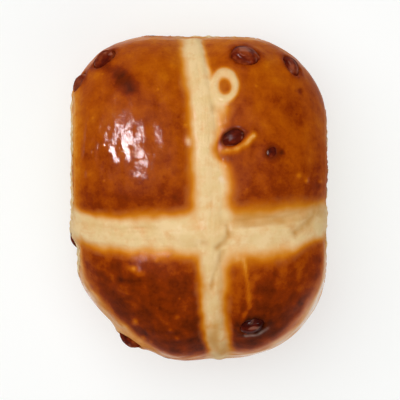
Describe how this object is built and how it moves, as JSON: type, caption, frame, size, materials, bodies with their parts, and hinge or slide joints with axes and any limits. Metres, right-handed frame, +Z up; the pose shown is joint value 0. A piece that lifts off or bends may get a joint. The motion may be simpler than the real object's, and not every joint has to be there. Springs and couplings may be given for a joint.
{
  "type": "hot cross bun",
  "caption": "Glazed fruit bun with a domed, four-quartered crust, a flour-paste cross and raisins, pressed square on three sides where it baked against others.",
  "frame": {"origin": "on the surface that the bun stands on, under the middle of its bounding box", "axes": "+Z up; +Y along the bun's length towards the end that was pressed against another bun, so -Y is the free, round front; +X to the right seen from the front"},
  "size_m": [0.0729, 0.0922, 0.0459],
  "materials": {
    "crust": "gloss",
    "paste": "satin",
    "raisin": "satin"
  },
  "bodies": {
    "root": {"bun": "crust", "cross": "paste", "raisin_back_right": "raisin", "raisin_by_strip": "raisin", "raisin_small": "raisin", "raisin_front_right": "raisin", "raisin_right_corner": "raisin", "raisin_left_corner": "raisin", "raisin_left_shoulder": "raisin", "raisin_front_left": "raisin", "raisin_front_low": "raisin", "raisin_right_side": "raisin", "raisin_left_side": "raisin", "raisin_back_side": "raisin"}
  },
  "joints": []
}
